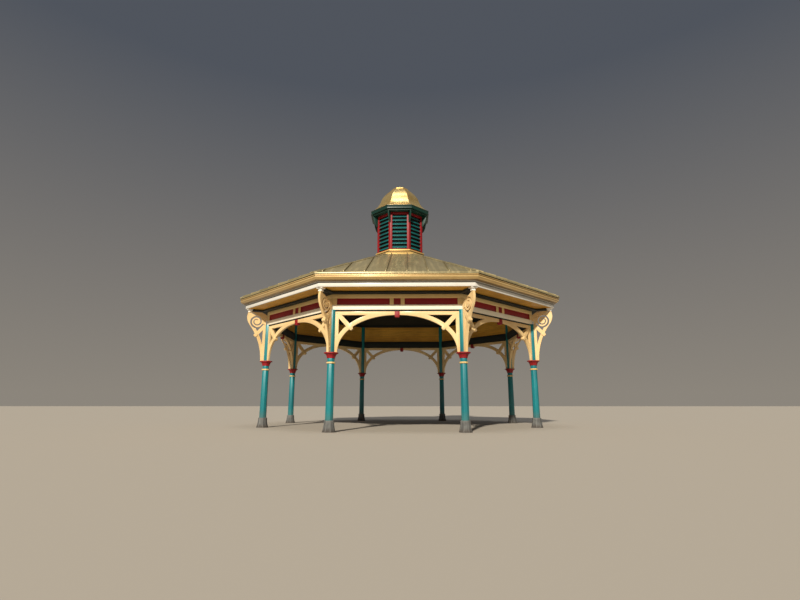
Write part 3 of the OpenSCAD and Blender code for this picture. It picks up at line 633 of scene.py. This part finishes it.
tone = roof.mix(clouds.between(0.55, 0.3) * 0.35, tone, linear(126, 116, 88))
upslope = 1 - out.between(5.0, 5.3)
tone = roof.mix((seam_shade_and_grime * 0.25 + lap * 0.6) * upslope, tone, linear(84, 72, 46))
roof.paint(Base_Color=tone, Roughness=0.30 + 0.2 * streaks)
roof.bump(dents + 0.15 * streaks - 0.25 * lap, 0.012)
eased("roof_sheets", roof, "roof_metal", 0.004)
eased("roof_seams", roof, "roof_metal", 0.005)
eased("hip_caps", roof, "roof_metal", 0.003)

hip_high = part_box("hip_caps")[1]
ridge_pitch = math.atan(pitch * math.cos(half_turn))
hip_out = hip_high.x / math.cos(half_turn)
skirt_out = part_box("cupola_skirt")[1].x / math.cos(half_turn)
hip_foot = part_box("roof_sheets")[1].z - (hip_high.x - curb_line) * pitch
cap_thickness = 0.004
screw_end, screw_spacing, screw_aside = 0.12, 0.32, 0.056
screw_radius, screw_height = 0.006, 0.005
upward = (math.sin(ridge_pitch), 0, math.cos(ridge_pitch))
hip_screws = bmesh.new()
for step in even(skirt_out + screw_end, hip_out - screw_end, screw_spacing):
    level = hip_foot + (hip_out - step) * math.tan(ridge_pitch) + cap_thickness / math.cos(ridge_pitch)
    for side in (-screw_aside, screw_aside):
        bolt_head(hip_screws, (step, side, level), upward, screw_radius, screw_height)
bmesh.ops.rotate(hip_screws, verts=hip_screws.verts, cent=(0, 0, 0), matrix=to_corner)
all_round(hip_screws)
put(hip_screws, "hip_cap_screws", roof, "roof_metal")

# Cupola.
# A light frame of red posts and rails stands on the curb, filled with teal louvres to let warm air out.
# Dark green brackets and a deep cornice shelter it, and gilded sheet is dressed over the curb.
louvre_teal = enamel("louvre_teal", linear(14, 104, 102), linear(6, 82, 84), streak=(1, 1, 7))
flashing = enamel("gilded_flashing", linear(232, 196, 124), linear(210, 172, 98), roughness=0.46, coat=0.0)
flashing.shader.inputs["Metallic"].default_value = 0.6
# A painted shadow line along the gilded curb, just above the top of the skirt.
shadow_line(flashing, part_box("cupola_skirt")[1].z + 0.012, 0.050, 0.92, linear(58, 34, 12))
eased("cupola_curb", flashing, "gilded_metal", 0.004)
eased("cupola_skirt", flashing, "gilded_metal", 0.003)
for node in ("cupola_sills", "cupola_corner_posts", "cupola_head_rails"):
    eased(node, red, "red_paint", 0.004)
eased("cupola_louvres", louvre_teal, "louvre_paint", 0.003)
cornice_green = enamel("cornice_green", linear(0, 60, 48), linear(0, 42, 36), streak=(1, 1, 7), wear=0.08,
                       coat=0.05)
for node in ("cupola_brackets", "cupola_soffit", "cupola_cornice"):
    eased(node, cornice_green, "dark_green_paint", 0.005)
# The screens are a near-black solid sheet, which also serves as painted shade inside the cupola.
screen = enamel("screen_cloth", linear(12, 22, 20), linear(7, 15, 14), roughness=0.8, coat=0.0)
eased("cupola_screens", screen, "dark_green_paint", 0.001, segments=1)

# Dome.
# Gilded sheet is beaten over an eight-sided bell, flared at its foot and turned in at the top.
# It is dressed down over the cornice, and a small cap closes it.
gilt = Finish("gilded_sheet", metallic=0.85)
wash = gilt.noise(1.6, detail=3)
tarnish = gilt.noise(6.0, stretch=(1, 1, 0.35), detail=5)
freckles = gilt.noise(42.0, detail=3)
tone = gilt.mix(wash.between(0.35, 0.7), linear(250, 218, 146), linear(232, 192, 112))
tone = gilt.mix(tarnish.between(0.55, 0.8) * 0.45, tone, linear(150, 112, 56))
tone = gilt.mix(freckles.between(0.66, 0.74) * 0.4, tone, linear(96, 70, 34))
gilt.paint(Base_Color=tone, Roughness=0.22 + 0.26 * tarnish)
gilt.bump(wash + 0.2 * tarnish, 0.008)
eased("dome_shell", gilt, "gilded_metal", 0.006, segments=3, sharp=17)
eased("dome_cap", gilt, "gilded_metal", 0.004)
